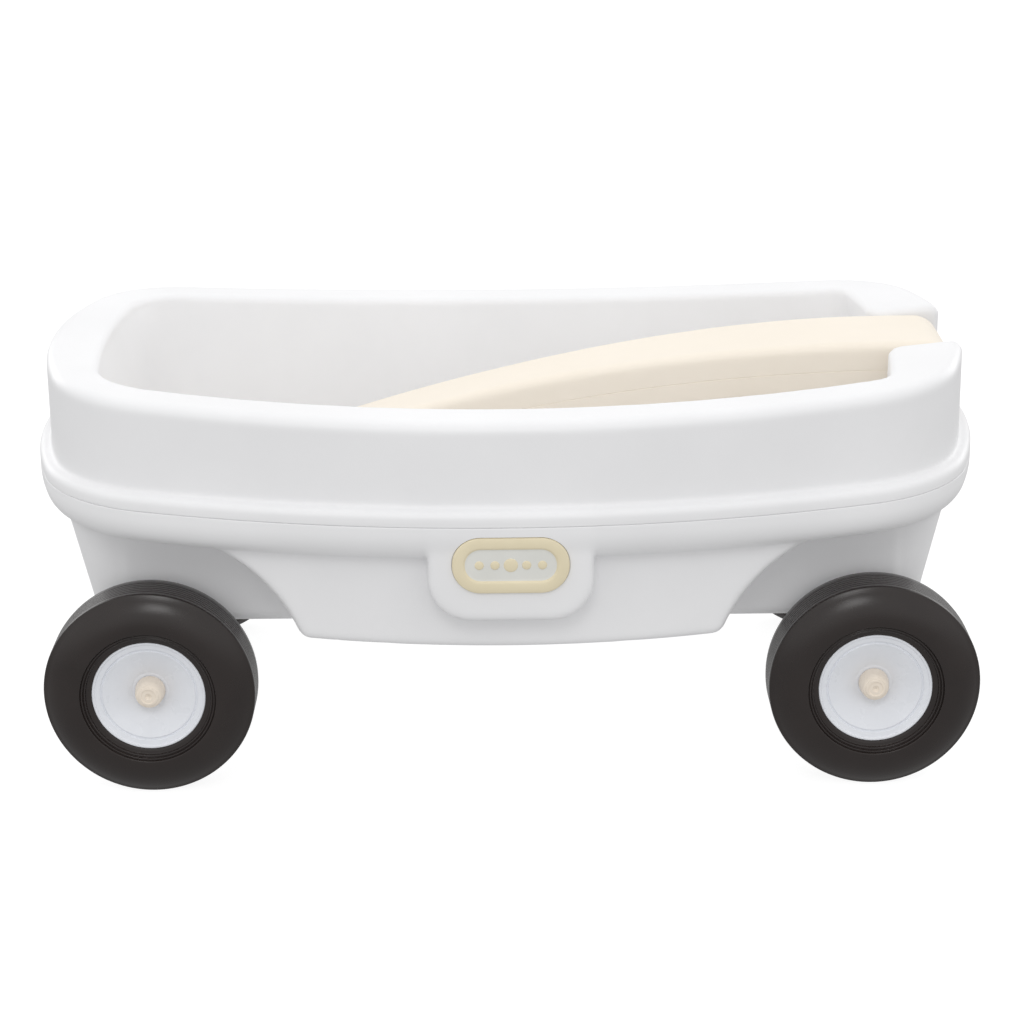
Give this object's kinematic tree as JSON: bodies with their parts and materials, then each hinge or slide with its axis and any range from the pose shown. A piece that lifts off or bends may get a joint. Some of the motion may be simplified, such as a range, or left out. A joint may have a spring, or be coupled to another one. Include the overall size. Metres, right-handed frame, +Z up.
{
  "type": "kids pull wagon",
  "caption": "Toddler's pull wagon: two-part moulded tub body on spinning wheels, with a folding pull handle that lies in the tub",
  "frame": {"origin": "on the floor, under the middle of the body", "axes": "+X towards the handle end, +Y to the wagon's left, +Z up"},
  "size_m": [0.698, 0.41, 0.3003],
  "materials": {
    "shell": "moulded white plastic with a soft satin surface",
    "handle": "moulded cream plastic with a soft satin surface",
    "badge": "moulded beige plastic, satin",
    "tyre": "smooth brown-black plastic, satin with soft highlights",
    "hub": "pale blue-white plastic, satin",
    "cap": "cream plastic push-on cap",
    "steel": "zinc-plated steel rod and hardware",
    "nylon": "natural nylon bearing bush"
  },
  "bodies": {
    "body": {"tub": "shell", "chassis": "shell", "badge_left": "badge", "badge_right": "badge", "body_screws": "steel", "bush_front_left": "nylon", "bush_front_right": "nylon", "bush_rear_left": "nylon", "bush_rear_right": "nylon", "handle_pin": "steel", "pin_bush_left": "nylon", "pin_bush_right": "nylon", "pin_clip": "steel"},
    "handle": {"handle": "handle"},
    "front_axle": {"front_axle": "steel", "cap_front_left": "cap", "cap_front_right": "cap", "washer_front_left": "steel", "washer_front_right": "steel"},
    "rear_axle": {"rear_axle": "steel", "cap_rear_left": "cap", "cap_rear_right": "cap", "washer_rear_left": "steel", "washer_rear_right": "steel"},
    "wheel_front_left": {"tyre_front_left": "tyre", "hub_front_left": "hub"},
    "wheel_front_right": {"tyre_front_right": "tyre", "hub_front_right": "hub"},
    "wheel_rear_left": {"tyre_rear_left": "tyre", "hub_rear_left": "hub"},
    "wheel_rear_right": {"tyre_rear_right": "tyre", "hub_rear_right": "hub"}
  },
  "joints": [
    {"name": "handle_pivot", "type": "hinge", "parent": "body", "child": "handle", "pos_m": [0.313, 0, 0.2751], "axis": [0, 1, 0], "range_deg": [0, 200]},
    {"name": "front_axle_spin", "type": "hinge", "parent": "body", "child": "front_axle", "pos_m": [0.2635, 0, 0.076], "axis": [0, 1, 0], "continuous": true},
    {"name": "rear_axle_spin", "type": "hinge", "parent": "body", "child": "rear_axle", "pos_m": [-0.2575, 0, 0.076], "axis": [0, 1, 0], "continuous": true},
    {"name": "front_left_wheel_spin", "type": "hinge", "parent": "front_axle", "child": "wheel_front_left", "pos_m": [0.2635, 0.157, 0.076], "axis": [0, 1, 0], "continuous": true},
    {"name": "front_right_wheel_spin", "type": "hinge", "parent": "front_axle", "child": "wheel_front_right", "pos_m": [0.2635, -0.157, 0.076], "axis": [0, 1, 0], "continuous": true},
    {"name": "rear_left_wheel_spin", "type": "hinge", "parent": "rear_axle", "child": "wheel_rear_left", "pos_m": [-0.2575, 0.157, 0.076], "axis": [0, 1, 0], "continuous": true},
    {"name": "rear_right_wheel_spin", "type": "hinge", "parent": "rear_axle", "child": "wheel_rear_right", "pos_m": [-0.2575, -0.157, 0.076], "axis": [0, 1, 0], "continuous": true}
  ]
}
